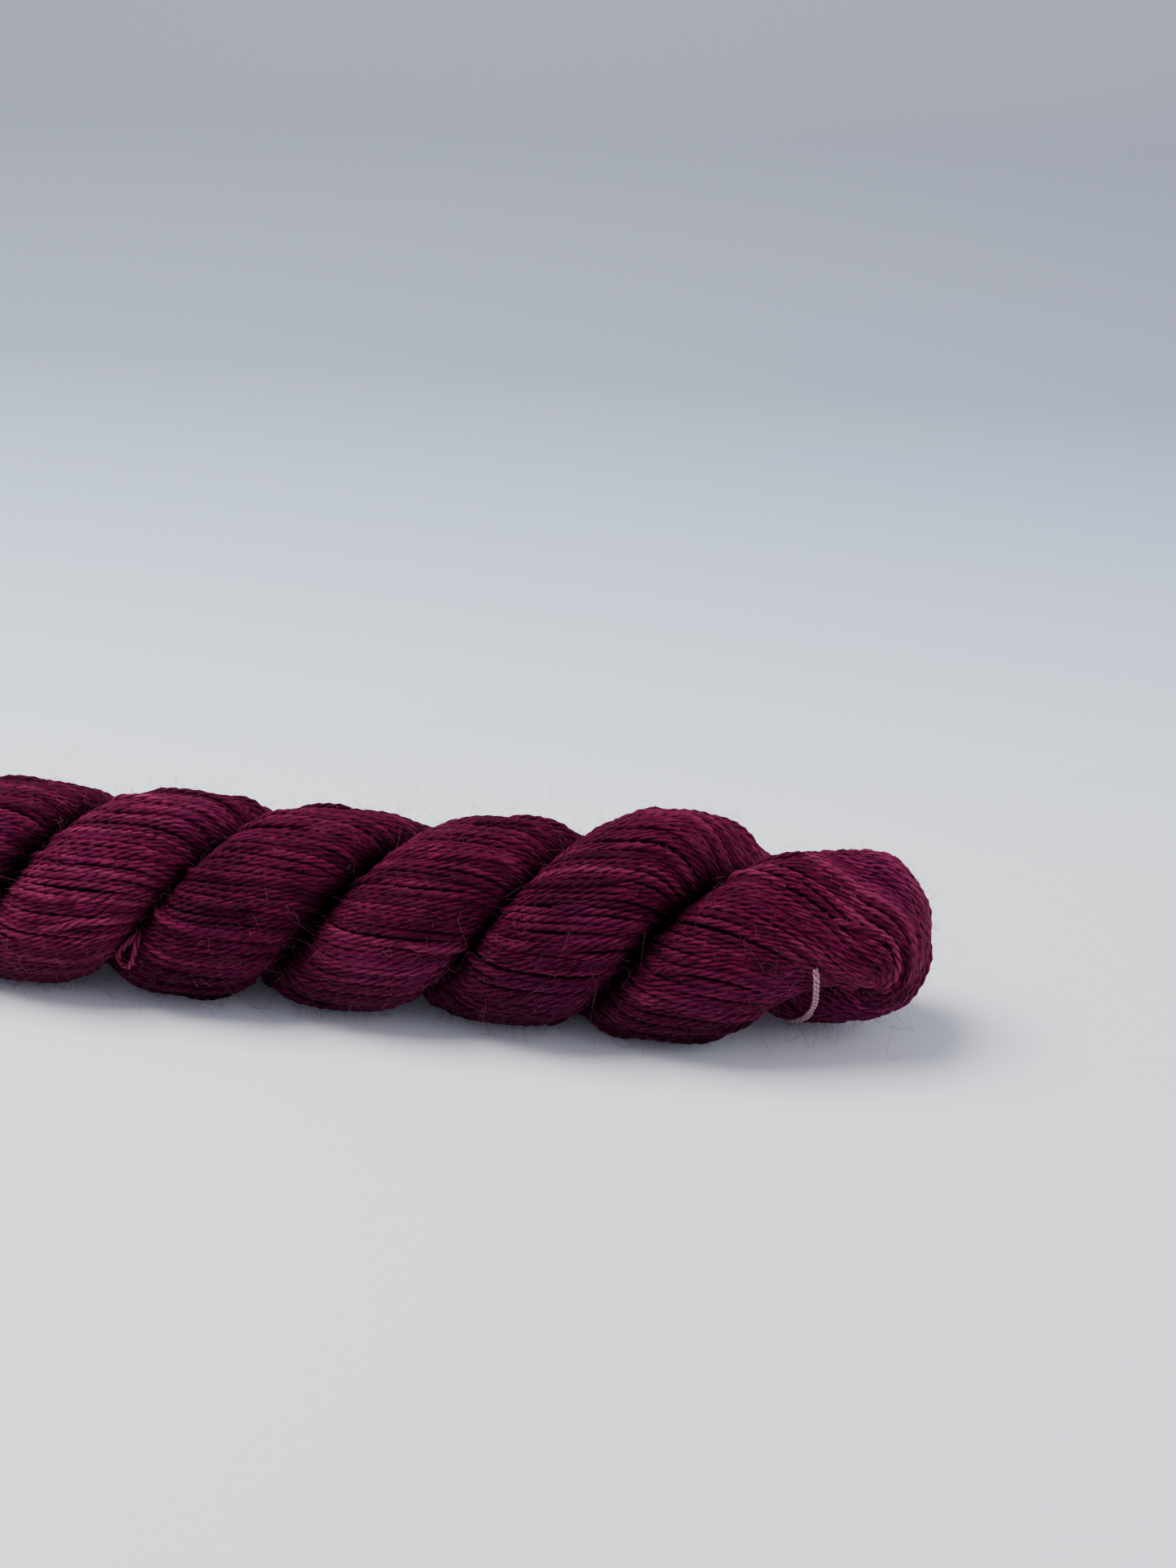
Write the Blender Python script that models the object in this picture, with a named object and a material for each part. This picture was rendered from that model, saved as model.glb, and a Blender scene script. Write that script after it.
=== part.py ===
"""A twisted hank of hand-dyed mohair yarn, lying on a table, with its skein tie.

A skein of yarn has been twisted, folded in half and left to ply on itself, so the hank is one
closed loop: a first ply, the right-hand fold, a second ply and the left-hand fold. The tie is a
doubled cotton thread that holds the strands together near the right-hand fold.

Metres, +Z up, +X along the hank. In the hank's own layout x is 0 just left of the right-hand
fold, where the second ply passes behind the first, and z is 0 at the table. The whole part is
then moved so that the bottom centre of its box is the origin.
"""

import math
from collections import namedtuple

import bmesh
import bpy
import numpy as np
from mathutils import Vector
from mathutils.bvhtree import BVHTree

MM = 0.001

# The hank's main sizes
LOBE_SPACING = 38.8 * MM
PLY_OFFSET = 12.4 * MM
PLY_REACH = 12.3 * MM
PLY_HALF_WIDTH = 14.6 * MM
AXIS_HEIGHT = 23.4 * MM
HALF_GAP = 0.25 * MM

# How full a section is, along the plies and in the folds: 1 is an ellipse, and less is squarer
PLY_POWER = 0.8
FOLD_POWER = 0.98

# The two folds, where the plies turn back: the turn's centre and radius, and the eye left in it
RIGHT_FOLD_X = 5.0 * MM
LEFT_FOLD_X = -236.0 * MM
RIGHT_FOLD_RADIUS = 6.8 * MM
LEFT_FOLD_RADIUS = 9.8 * MM
FOLD_EYE = 0.7 * MM
FOLD_SLACK = 2.0 * MM

# The twist eases off towards each fold
FOLD_TWIST = math.radians(0.5) / MM
RIGHT_EASE_START = -50.0 * MM
RIGHT_EASE_END = 10.0 * MM
LEFT_EASE_START = LEFT_FOLD_X + 30.0 * MM
LEFT_EASE_END = LEFT_FOLD_X - 4.0 * MM

# Where the first ply points straight down, which sets the place of every lobe
LOW_POINT = -48.7 * MM

# Over the last stretch before a fold the plies draw together and change their section
FOLD_STRETCH = 30.0 * MM
RIGHT_OFFSET_LOSS = 2.9 * MM
LEFT_OFFSET_LOSS = 2.4 * MM
RIGHT_REACH_LOSS = 1.1 * MM
LEFT_REACH_LOSS = 1.4 * MM
RIGHT_WIDTH_GAIN = 1.6 * MM

# The right-hand end is rounded off, and its section is thinner and narrower round the turn itself
ROUNDING_START = -12.0 * MM
ROUNDING_END = 9.0 * MM
RIGHT_ROUNDING = 3.4 * MM
RIGHT_TURN_THINNING = 0.6 * MM
RIGHT_TURN_NARROWING = 2.6 * MM

# The right-hand fold stands a little off the table and behind the hank's line
BEND_START = -40.0 * MM
BEND_END = 10.0 * MM
RIGHT_FOLD_LIFT = 2.8 * MM
RIGHT_FOLD_SHIFT = 4.0 * MM

# Mesh steps: sections along each ply, sections round each fold, points round a section
PLY_SECTIONS = 84
FOLD_SECTIONS = 9
SECTION_POINTS = 28

# Uneven places in the hand-wound plies
Swell = namedtuple("Swell", "ply centre half_width rise")
SWELLS = (
    Swell(ply=2, centre=-34.0 * MM, half_width=22.0 * MM, rise=6.0 * MM),
    Swell(ply=2, centre=-110.0 * MM, half_width=30.0 * MM, rise=-1.2 * MM),
    Swell(ply=2, centre=-3.0 * MM, half_width=12.0 * MM, rise=1.2 * MM),
)
TWIST_LAG = math.radians(8.0)
TWIST_LAG_CENTRE = -95.0 * MM
TWIST_LAG_HALF_WIDTH = 40.0 * MM

# The skein tie: two threads side by side
THREAD_RADIUS = 0.42 * MM
THREAD_SPACING = 0.68 * MM
TIE_CLEARANCE = 0.35 * MM
TIE_STEP = 1.6 * MM
THREAD_ARC_STEPS = 6

# Its route: x along the hank, the angle round the hank's axis, 0 to the front and 90 up, and the
# distance from that axis. It comes out between the strands in front, hangs across the crease
# between the plies, and passes under the second ply to its back.
TieStop = namedtuple("TieStop", "along around out")
TIE_STOPS = (
    TieStop(along=-4.9 * MM, around=9.0, out=22.0 * MM),
    TieStop(along=-4.2 * MM, around=0.0, out=22.4 * MM),
    TieStop(along=-4.4 * MM, around=-14.0, out=20.8 * MM),
    TieStop(along=-5.2 * MM, around=-33.0, out=19.4 * MM),
    TieStop(along=-8.2 * MM, around=-62.0, out=19.7 * MM),
    TieStop(along=-13.0 * MM, around=-84.0, out=21.5 * MM),
    TieStop(along=-16.5 * MM, around=-105.0, out=22.3 * MM),
    TieStop(along=-17.5 * MM, around=-128.0, out=26.4 * MM),
    TieStop(along=-17.5 * MM, around=-153.0, out=28.0 * MM),
    TieStop(along=-16.0 * MM, around=-180.0, out=27.0 * MM),
    TieStop(along=-14.0 * MM, around=-206.0, out=18.8 * MM),
)


def ease(start, end, at):
    """0 before start, 1 past end, with a smooth step between them."""
    share = np.clip((at - start) / (end - start), 0.0, 1.0)
    return share ** 2 * (3.0 - 2.0 * share)


def eased_run(start, end, at):
    """The area under ease, from start to each place."""
    span = end - start
    share = np.clip((at - start) / span, 0.0, 1.0)
    beyond = np.where((at - end) * span > 0.0, at - end, 0.0)
    return span * (share ** 3 - share ** 4 / 2.0) + beyond


def hump(centre, half_width, at):
    """A soft bump of height 1 at centre."""
    return np.exp(-((at - centre) / half_width) ** 2)


def raw_twist(x):
    """The plies' turn about the hank's axis, before its place is set."""
    rate = math.pi / LOBE_SPACING
    turn = rate * x
    turn = turn + (FOLD_TWIST - rate) * eased_run(RIGHT_EASE_START, RIGHT_EASE_END, x)
    turn = turn + (FOLD_TWIST - rate) * eased_run(LEFT_EASE_START, LEFT_EASE_END, x)
    return turn - TWIST_LAG * hump(TWIST_LAG_CENTRE, TWIST_LAG_HALF_WIDTH, x)


def twist(x):
    """The first ply's angle about the hank's axis: 0 to the front, 90 degrees straight up."""
    return raw_twist(x) - raw_twist(LOW_POINT) - math.pi / 2.0


def axis_y(x):
    return RIGHT_FOLD_SHIFT * ease(BEND_START, BEND_END, x)


def axis_z(x):
    return AXIS_HEIGHT + RIGHT_FOLD_LIFT * ease(BEND_START, BEND_END, x)


def near_right_fold(x):
    return ease(-FOLD_STRETCH, 0.0, x)


def near_left_fold(x):
    return ease(LEFT_FOLD_X + FOLD_STRETCH, LEFT_FOLD_X, x)


def ply_offset(x):
    """How far a ply's middle lies from the hank's axis."""
    return PLY_OFFSET - RIGHT_OFFSET_LOSS * near_right_fold(x) - LEFT_OFFSET_LOSS * near_left_fold(x)


def ply_reach(x, ply):
    """How far a ply's outer side lies from its own middle."""
    reach = PLY_REACH - RIGHT_REACH_LOSS * near_right_fold(x) - LEFT_REACH_LOSS * near_left_fold(x)
    reach = reach - RIGHT_ROUNDING * ease(ROUNDING_START, ROUNDING_END, x)
    for swell in SWELLS:
        if swell.ply == ply:
            reach = reach + swell.rise * hump(swell.centre, swell.half_width, x)
    return reach


def ply_half_width(x):
    return PLY_HALF_WIDTH + RIGHT_WIDTH_GAIN * near_right_fold(x)


def loop_stations():
    """Each section's place along the hank, and its turn round the loop: 0 on the first ply, pi on
    the second, and between them in the folds."""
    out = np.linspace(LEFT_FOLD_X, RIGHT_FOLD_X, PLY_SECTIONS, endpoint=False)
    back = np.linspace(RIGHT_FOLD_X, LEFT_FOLD_X, PLY_SECTIONS, endpoint=False)
    right = np.linspace(0.0, math.pi, FOLD_SECTIONS, endpoint=False)
    left = np.linspace(math.pi, 2.0 * math.pi, FOLD_SECTIONS, endpoint=False)
    x = np.concatenate([
        out,
        RIGHT_FOLD_X + RIGHT_FOLD_RADIUS * np.sin(right),
        back,
        LEFT_FOLD_X + LEFT_FOLD_RADIUS * np.sin(left),
    ])
    turn = np.concatenate([np.zeros_like(out), right, np.full_like(back, math.pi), left])
    return x, turn


def unit(vectors):
    return vectors / np.linalg.norm(vectors, axis=1)[:, None]


def ply_direction(x):
    """From the hank's axis towards the first ply."""
    angle = twist(x)
    return np.stack([np.zeros_like(x), -np.cos(angle), np.sin(angle)], axis=-1)


def loop_frames(x, turn):
    """Each section's middle, its outward direction and the direction across it."""
    inside = np.clip(x, LEFT_FOLD_X, RIGHT_FOLD_X)
    towards = ply_direction(x)
    middle = np.stack([x, axis_y(x), axis_z(x)], axis=1)
    middle += (ply_offset(inside) * np.cos(turn))[:, None] * towards
    outward = np.cos(turn)[:, None] * towards
    outward[:, 0] += np.sin(turn)
    along = unit(np.roll(middle, -1, axis=0) - np.roll(middle, 1, axis=0))
    outward = unit(outward - np.sum(outward * along, axis=1)[:, None] * along)
    return middle, outward, np.cross(along, outward)


def part_plies(points, turn):
    """Keep each ply on its own side of the twisting plane where the two press together. Round a
    fold a section may cross that plane by FOLD_SLACK."""
    x = points[..., 0]
    towards = ply_direction(x)
    side = np.where(np.cos(turn) >= 0.0, 1.0, -1.0)[:, None]
    across = (points[..., 1] - axis_y(x)) * towards[..., 1]
    across += (points[..., 2] - axis_z(x)) * towards[..., 2]
    slack = FOLD_SLACK * np.sin(turn)[:, None] ** 2
    push = np.maximum(HALF_GAP - slack - across * side, 0.0) * side
    return points + push[..., None] * towards


def hank_points():
    """The hank's surface as a grid: sections round the loop by points round each section."""
    x, turn = loop_stations()
    middle, outward, across = loop_frames(x, turn)
    inside = np.clip(x, LEFT_FOLD_X, RIGHT_FOLD_X)
    first_share = (1.0 + np.cos(turn)) / 2.0
    reach = first_share * ply_reach(inside, 1) + (1.0 - first_share) * ply_reach(inside, 2)
    bend = np.abs(np.sin(turn))
    at_right = x > 0.0
    reach = reach - RIGHT_TURN_THINNING * at_right * bend ** 2
    fold_radius = np.where(at_right, RIGHT_FOLD_RADIUS, LEFT_FOLD_RADIUS)
    inner = (1.0 - bend) * (ply_offset(inside) - HALF_GAP) + bend * (fold_radius - FOLD_EYE)
    half_width = ply_half_width(inside) - RIGHT_TURN_NARROWING * at_right * bend ** 2
    angle = np.linspace(0.0, 2.0 * math.pi, SECTION_POINTS, endpoint=False)
    power = (PLY_POWER + (FOLD_POWER - PLY_POWER) * bend)[:, None]
    c, s = np.cos(angle), np.sin(angle)
    depth = np.where(c > 0.0, reach[:, None], inner[:, None]) * np.sign(c) * np.abs(c) ** power
    width = half_width[:, None] * np.sign(s) * np.abs(s) ** power
    points = middle[:, None] + depth[..., None] * outward[:, None] + width[..., None] * across[:, None]
    points = part_plies(points, turn)
    points[..., 2] = np.maximum(points[..., 2], 0.0)
    return points


def closed_tube(grid, closed_loop):
    """A mesh of the grid's quads: a ring if closed_loop, or else a tube with flat ends."""
    mesh = bmesh.new()
    rings = [[mesh.verts.new(point) for point in ring] for ring in grid.tolist()]
    sides = len(rings[0])
    last = len(rings) if closed_loop else len(rings) - 1
    for i in range(last):
        ring, following = rings[i], rings[(i + 1) % len(rings)]
        for j in range(sides):
            k = (j + 1) % sides
            mesh.faces.new((ring[j], ring[k], following[k], following[j]))
    if not closed_loop:
        mesh.faces.new(rings[0])
        mesh.faces.new(rings[-1])
    bmesh.ops.recalc_face_normals(mesh, faces=mesh.faces)
    return mesh


def beside_axis(stop):
    """A stop of the tie's route as a point."""
    angle = math.radians(stop.around)
    y = float(axis_y(stop.along)) - stop.out * math.cos(angle)
    z = float(axis_z(stop.along)) + stop.out * math.sin(angle)
    return Vector((stop.along, y, z))


def smooth_route(stops):
    """Points about a step apart on one smooth curve through the stops."""
    stops = [stops[0] * 2.0 - stops[1]] + stops + [stops[-1] * 2.0 - stops[-2]]
    route = []
    for before, start, end, after in zip(stops, stops[1:], stops[2:], stops[3:]):
        count = max(2, round((end - start).length / TIE_STEP))
        for i in range(count):
            t = i / count
            pull = (end - before) * 0.5
            onward = (after - start) * 0.5
            route.append(start * (2 * t ** 3 - 3 * t ** 2 + 1) + pull * (t ** 3 - 2 * t ** 2 + t)
                         + end * (3 * t ** 2 - 2 * t ** 3) + onward * (t ** 3 - t ** 2))
    route.append(stops[-2])
    return route


def clear_of_surface(tree, point, gap):
    """The point, lifted off the hank where it lies closer than gap."""
    near, normal, _, _ = tree.find_nearest(point)
    height = (point - near).dot(normal)
    return point + normal * max(gap - height, 0.0)


def thread_section():
    """Two round threads side by side, as one outline: the first value across them, the second off
    the hank. Each thread's arc stops short of the point where the other's begins."""
    half = THREAD_SPACING / 2.0
    meeting = math.acos(half / THREAD_RADIUS)
    sweep = 2.0 * (math.pi - meeting)
    outline = []
    for centre, start in ((half, meeting - math.pi), (-half, meeting)):
        for i in range(THREAD_ARC_STEPS):
            angle = start + sweep * i / THREAD_ARC_STEPS
            outline.append((centre + THREAD_RADIUS * math.cos(angle), THREAD_RADIUS * math.sin(angle)))
    return outline


def tie_points(tree):
    """The tie's surface as a grid: sections along its route by points round each section."""
    gap = TIE_CLEARANCE + THREAD_RADIUS
    stops = [beside_axis(stop) for stop in TIE_STOPS]
    route = [clear_of_surface(tree, point, gap) for point in smooth_route(stops)]
    section = thread_section()
    grid = []
    for i, point in enumerate(route):
        along = (route[min(i + 1, len(route) - 1)] - route[max(i - 1, 0)]).normalized()
        off = tree.find_nearest(point)[1]
        off = (off - along * off.dot(along)).normalized()
        across = along.cross(off)
        grid.append([point + across * u + off * v for u, v in section])
    return np.array(grid)


def plain_material(name, colour, roughness):
    material = bpy.data.materials.new(name)
    material.use_nodes = True
    shader = material.node_tree.nodes["Principled BSDF"]
    shader.inputs["Base Color"].default_value = (*colour, 1.0)
    shader.inputs["Roughness"].default_value = roughness
    shader.inputs["Metallic"].default_value = 0.0
    material.diffuse_color = (*colour, 1.0)
    return material


def add_object(name, mesh, material, parent):
    data = bpy.data.meshes.new(name)
    mesh.to_mesh(data)
    data.materials.append(material)
    data.shade_smooth()
    data.set_sharp_from_angle(angle=math.radians(50.0))
    thing = bpy.data.objects.new(name, data)
    thing.parent = parent
    bpy.context.scene.collection.objects.link(thing)


def clear_scene():
    for thing in list(bpy.data.objects):
        bpy.data.objects.remove(thing, do_unlink=True)


def main():
    clear_scene()
    burgundy = plain_material("burgundy_mohair", colour=(0.052, 0.005, 0.016), roughness=0.75)
    pink = plain_material("dusty_pink_cotton", colour=(0.33, 0.19, 0.22), roughness=0.8)

    grid = hank_points()
    low, high = grid.min(axis=(0, 1)), grid.max(axis=(0, 1))
    layout = bpy.data.objects.new("layout", None)
    layout.location = (-(low[0] + high[0]) / 2.0, -(low[1] + high[1]) / 2.0, 0.0)
    bpy.context.scene.collection.objects.link(layout)

    hank = closed_tube(grid, closed_loop=True)
    tree = BVHTree.FromBMesh(hank)
    add_object("hank", hank, burgundy, layout)
    add_object("skein_tie", closed_tube(tie_points(tree), closed_loop=False), pink, layout)
    bpy.context.view_layer.update()


main()
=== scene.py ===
"""The looks of a twisted hank of hand-dyed mohair: its wound strands, the fibres that stand off
them, the slack loop in one groove, and the skein tie.

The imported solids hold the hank's form. The same loop of two plies is laid out here again, and
plied strands are wound round it in layers: an outer one, an under one that shows between its
strands, and a few stray strands that cross them. Metres, +Z up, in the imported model's frame.
"""

import math
from collections import namedtuple

import bpy
import numpy as np
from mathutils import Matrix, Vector
from mathutils.bvhtree import BVHTree

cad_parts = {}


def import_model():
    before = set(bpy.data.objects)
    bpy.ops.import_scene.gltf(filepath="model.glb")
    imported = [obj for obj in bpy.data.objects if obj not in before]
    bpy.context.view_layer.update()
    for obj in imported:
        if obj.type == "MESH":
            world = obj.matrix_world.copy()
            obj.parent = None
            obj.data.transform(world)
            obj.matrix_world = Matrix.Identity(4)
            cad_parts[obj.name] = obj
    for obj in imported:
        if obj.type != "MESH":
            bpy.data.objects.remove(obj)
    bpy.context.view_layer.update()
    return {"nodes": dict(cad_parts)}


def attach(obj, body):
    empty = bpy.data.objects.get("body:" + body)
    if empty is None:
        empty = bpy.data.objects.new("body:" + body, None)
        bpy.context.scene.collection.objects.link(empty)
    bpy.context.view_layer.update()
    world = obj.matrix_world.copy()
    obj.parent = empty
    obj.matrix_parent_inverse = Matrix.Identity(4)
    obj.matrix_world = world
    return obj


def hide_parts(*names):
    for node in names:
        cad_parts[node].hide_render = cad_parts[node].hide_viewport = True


MM = 0.001

# The photograph, and the camera worked out from it: one point of the hank and where it shows
PHOTO_WIDTH = 1445
PHOTO_HEIGHT = 1927
CAMERA_TURN = math.radians(10.9)
CAMERA_ELEVATION = math.radians(24.0)
CAMERA_DISTANCE = 700.0 * MM
PIXELS_PER_METRE = 5263.0
SEEN_POINT = Vector((0.0, 0.0, 23.6 * MM))
SEEN_AT = (1037.0, 1167.0)
SENSOR = 36.0

# The hank's form, as the solids have it
LOBE_SPACING = 38.8 * MM
PLY_OFFSET = 12.4 * MM
PLY_REACH = 12.3 * MM
PLY_HALF_WIDTH = 14.6 * MM
AXIS_HEIGHT = 23.4 * MM
HALF_GAP = 0.25 * MM
PLY_POWER = 0.8
FOLD_POWER = 0.98
RIGHT_FOLD_X = 5.0 * MM
LEFT_FOLD_X = -236.0 * MM
RIGHT_FOLD_RADIUS = 6.8 * MM
LEFT_FOLD_RADIUS = 9.8 * MM
FOLD_EYE = 0.7 * MM
FOLD_SLACK = 2.0 * MM
FOLD_TWIST = math.radians(0.5) / MM
RIGHT_EASE_START = -50.0 * MM
RIGHT_EASE_END = 10.0 * MM
LEFT_EASE_START = LEFT_FOLD_X + 30.0 * MM
LEFT_EASE_END = LEFT_FOLD_X - 4.0 * MM
LOW_POINT = -48.7 * MM
FOLD_STRETCH = 30.0 * MM
RIGHT_OFFSET_LOSS = 2.9 * MM
LEFT_OFFSET_LOSS = 2.4 * MM
RIGHT_REACH_LOSS = 1.1 * MM
LEFT_REACH_LOSS = 1.4 * MM
RIGHT_WIDTH_GAIN = 1.6 * MM
ROUNDING_START = -12.0 * MM
ROUNDING_END = 9.0 * MM
RIGHT_ROUNDING = 3.4 * MM
RIGHT_TURN_THINNING = 0.6 * MM
RIGHT_TURN_NARROWING = 2.6 * MM
BEND_START = -40.0 * MM
BEND_END = 10.0 * MM
RIGHT_FOLD_LIFT = 2.8 * MM
RIGHT_FOLD_SHIFT = 4.0 * MM

# Uneven places in the hand-wound plies, as the solids have them
Swell = namedtuple("Swell", "ply centre half_width rise")
SWELLS = (
    Swell(ply=2, centre=-34.0 * MM, half_width=22.0 * MM, rise=6.0 * MM),
    Swell(ply=2, centre=-110.0 * MM, half_width=30.0 * MM, rise=-1.2 * MM),
    Swell(ply=2, centre=-3.0 * MM, half_width=12.0 * MM, rise=1.2 * MM),
)
TWIST_LAG = math.radians(8.0)
TWIST_LAG_CENTRE = -95.0 * MM
TWIST_LAG_HALF_WIDTH = 40.0 * MM

# How finely the form is laid out for the strands. The solid's and the core's steps are sections
# along each ply, sections round each fold and points round a section.
PLY_SECTIONS = 640
FOLD_SECTIONS = 70
SECTION_POINTS = 240
SOLID_STEPS = (84, 9, 28)
CORE_STEPS = (110, 12, 36)
TANGENT_REACH = 1.5 * MM

# Where the strands stand a little out of the form: beside the tie, and in the crease at the
# right-hand end, which they all but close
Puff = namedtuple("Puff", "place size amount")
PUFFS = (
    Puff(place=(-13.0 * MM, -4.0 * MM, 8.0 * MM), size=9.0 * MM, amount=3.2 * MM),
    Puff(place=(9.0 * MM, -7.5 * MM, 20.5 * MM), size=6.5 * MM, amount=3.4 * MM),
)

# How fast the strands turn round their own ply, in radians a metre of ply: on the lobes, over the
# last stretch before the folds, and round the folds
LOBE_TURN = 150.0
END_TURN = 84.0
END_TURN_STRETCH = 28.0 * MM
FOLD_TURN = 145.0

# The yarn: its half thickness, the length in which its plies go round once, their number, and how
# deep the grooves between them are, as a share of its half thickness
STRAND_RADIUS = 0.86 * MM
STRAND_PITCH = 8.8 * MM
STRAND_PLIES = 3
STRAND_GROOVE = 0.16

# Plied yarn as its geometry tree makes it, with the corners of its section
Yarn = namedtuple("Yarn", "radius pitch plies corners groove")

# Layers of wound strands. A weave is how far a strand moves in and out of its layer, a wander how
# far it moves aside and a crowding how strongly neighbours bunch, both in outer strand spacings.
Layer = namedtuple("Layer", "name count depth weave steep wander crowding turn_share step corners "
                            "groove seed")
OUTER = Layer(name="outer_strands", count=50, depth=0.80 * MM, weave=0.30 * MM, steep=1.0,
              wander=0.55, crowding=0.16, turn_share=1.0, step=1.2 * MM, corners=6,
              groove=STRAND_GROOVE, seed=11)
UNDER = Layer(name="under_strands", count=34, depth=1.70 * MM, weave=0.20 * MM, steep=1.0,
              wander=0.6, crowding=0.1, turn_share=0.94, step=3.0 * MM, corners=4,
              groove=0.0, seed=23)
STRAY = Layer(name="stray_strands", count=8, depth=1.0 * MM, weave=1.25 * MM, steep=4.0,
              wander=1.9, crowding=0.0, turn_share=0.97, step=1.2 * MM, corners=6,
              groove=STRAND_GROOVE, seed=37)
OUTER_PIECES = 4

# Slow waves along a strand, each between its longest and its shortest length. It moves aside in
# wanders, ripples and quivers, in and out in weaves and tremors, and varies in thickness and spin.
WANDER_WAVES = (75.0 * MM, 22.0 * MM)
RIPPLE_WAVES = (20.0 * MM, 8.0 * MM)
QUIVER_WAVES = (6.0 * MM, 3.5 * MM)
WEAVE_WAVES = (34.0 * MM, 12.0 * MM)
TREMOR_WAVES = (5.0 * MM, 2.5 * MM)
THICKNESS_WAVES = (30.0 * MM, 9.0 * MM)
SPIN_WAVES = (60.0 * MM, 30.0 * MM)

# How large they are: ripples and quivers in outer strand spacings, and spin in radians
RIPPLE = 0.16
QUIVER = 0.06
TREMOR = 0.05 * MM
THICKNESS_WAVE = 0.09
THICKNESS_SPREAD = 0.04
SPIN_WAVE = 0.5

# How much faster than the pitch says a strand's plies turn, in radians a metre: mean and spread
SPIN_MEAN = 20.0
SPIN_SPREAD = 55.0

# How many bunches the neighbouring strands form round the ply, in three slow waves
BUNCHES = (4, 7, 11)

# A strand meets its own start over a joint where it keeps to its lane, and laps over it by a few
# sections
JOINT = 14.0 * MM
LOOP_LAP = 3

# A strand shows where the other ply presses it by less than this and where it lies no deeper than
# this, or than a little under its own layer. Its shorter stretches are left out.
MOST_PRESS = 1.6 * MM
SHOWN_DEPTH = 1.3 * MM
LAYER_ROOM = 0.3 * MM
SHORTEST_ARC = 5.0 * MM

# Painted shade: a strand is darkest where it lies at the first depth or deeper, and clear at the
# second
DARK_DEPTH = 2.6 * MM
CLEAR_DEPTH = 0.9 * MM

# Painted shade: the yarn's colour is darkened in the grooves between the plies:
# how near the other ply is where that is full and where it starts, and the shade left in the
# groove. The same painted shade low down: the height where it starts, and the shade left at the
# table. At the right-hand end the END values take over, between the START and the FULL place.
GROOVE_NEAR = 0.6 * MM
GROOVE_FAR = 6.6 * MM
END_GROOVE_FAR = 3.6 * MM
GROOVE_SHADE = 0.07
END_GROOVE_SHADE = 0.22
END_GROOVE_START = -6.0 * MM
END_GROOVE_FULL = 6.0 * MM
LOW_HEIGHT = 22.0 * MM
LOW_SHADE = 0.36
END_LOW_SHADE = 1.0
END_SHADE_START = -20.0 * MM
END_SHADE_FULL = 5.0 * MM

# Stretches of the loop that are nearer than this along its run belong to the same ply
SAME_PLY_RUN = 30.0 * MM

# Painted light: the yarn leans to magenta low down, where the table lights it: how much, the
# height where that starts and the height where it is full
LOW_MAGENTA = 0.18
LOW_MAGENTA_START = 15.0 * MM
LOW_MAGENTA_FULL = 3.0 * MM

# The solid middle under the strands
CORE_INSET = 2.3 * MM

# The skein tie: its route, as the solid has it
TieStop = namedtuple("TieStop", "along around out")
TIE_STOPS = (
    TieStop(along=-4.9 * MM, around=9.0, out=22.0 * MM),
    TieStop(along=-4.2 * MM, around=0.0, out=22.4 * MM),
    TieStop(along=-4.4 * MM, around=-14.0, out=20.8 * MM),
    TieStop(along=-5.2 * MM, around=-33.0, out=19.4 * MM),
    TieStop(along=-8.2 * MM, around=-62.0, out=19.7 * MM),
    TieStop(along=-13.0 * MM, around=-84.0, out=21.5 * MM),
    TieStop(along=-16.5 * MM, around=-105.0, out=22.3 * MM),
    TieStop(along=-17.5 * MM, around=-128.0, out=26.4 * MM),
    TieStop(along=-17.5 * MM, around=-153.0, out=28.0 * MM),
    TieStop(along=-16.0 * MM, around=-180.0, out=27.0 * MM),
    TieStop(along=-14.0 * MM, around=-206.0, out=18.8 * MM),
)

# Its two threads: how far apart they lie, how finely they are laid out, how far the second one's
# plies are turned on, how far they stay off the hank, and how deep their ends are tucked in, and
# over what share of the route
THREAD = Yarn(radius=0.40 * MM, pitch=3.5 * MM, plies=2, corners=10, groove=0.14)
THREAD_SPACING = 0.70 * MM
THREAD_STEP = 0.4 * MM
SECOND_THREAD_SPIN = 1.3
TIE_CLEARANCE = 0.35 * MM
TIE_TUCK = 2.2 * MM
TIE_END = 0.045

# The slack loop of yarn that stands out of one groove
SLACK_STOPS = (
    TieStop(along=-166.8 * MM, around=-6.0, out=14.0 * MM),
    TieStop(along=-168.0 * MM, around=-14.0, out=17.3 * MM),
    TieStop(along=-170.6 * MM, around=-23.0, out=18.0 * MM),
    TieStop(along=-172.3 * MM, around=-30.5, out=18.8 * MM),
    TieStop(along=-172.0 * MM, around=-35.5, out=20.0 * MM),
    TieStop(along=-169.9 * MM, around=-35.0, out=21.2 * MM),
    TieStop(along=-168.2 * MM, around=-28.5, out=21.3 * MM),
    TieStop(along=-167.1 * MM, around=-20.5, out=20.6 * MM),
    TieStop(along=-166.6 * MM, around=-14.0, out=19.4 * MM),
    TieStop(along=-166.2 * MM, around=-7.0, out=15.0 * MM),
)
SLACK = Yarn(radius=0.74 * MM, pitch=STRAND_PITCH, plies=STRAND_PLIES, corners=12,
             groove=STRAND_GROOVE)

# It stays off the hank by a share of its own half thickness, and is tucked in at its ends, where
# painted shade leaves only a share of its colour
SLACK_STEP = 0.8 * MM
SLACK_CLEARANCE = 0.6
SLACK_TUCK = 2.0 * MM
SLACK_END = 0.14
SLACK_END_SHADE = 0.25
SLACK_LIFT = 1.0
SLACK_TONE = 0.6

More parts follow.
